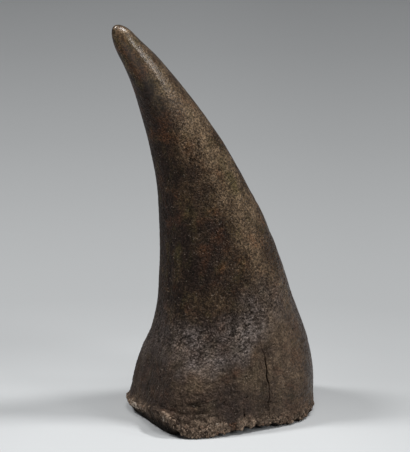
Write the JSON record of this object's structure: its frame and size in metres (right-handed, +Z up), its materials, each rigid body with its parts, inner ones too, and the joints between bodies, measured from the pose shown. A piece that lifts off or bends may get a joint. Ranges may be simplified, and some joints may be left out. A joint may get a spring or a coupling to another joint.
{
  "type": "rhinoceros horn",
  "caption": "Stout curved horn with a rounded tip, a swollen cracked collar and a ragged hollowed base that it stands on.",
  "frame": {"origin": "centre of the footprint of the bounding box, on the surface that the horn stands on", "axes": "+Z up, the horn curves in the XZ plane with its tip towards -X, Y across it"},
  "size_m": [0.2146, 0.1546, 0.4042],
  "materials": {
    "horn_keratin": "dark brown horn, fibrous, worn to a dull polish"
  },
  "bodies": {
    "root": {"horn": "horn_keratin"}
  },
  "joints": []
}
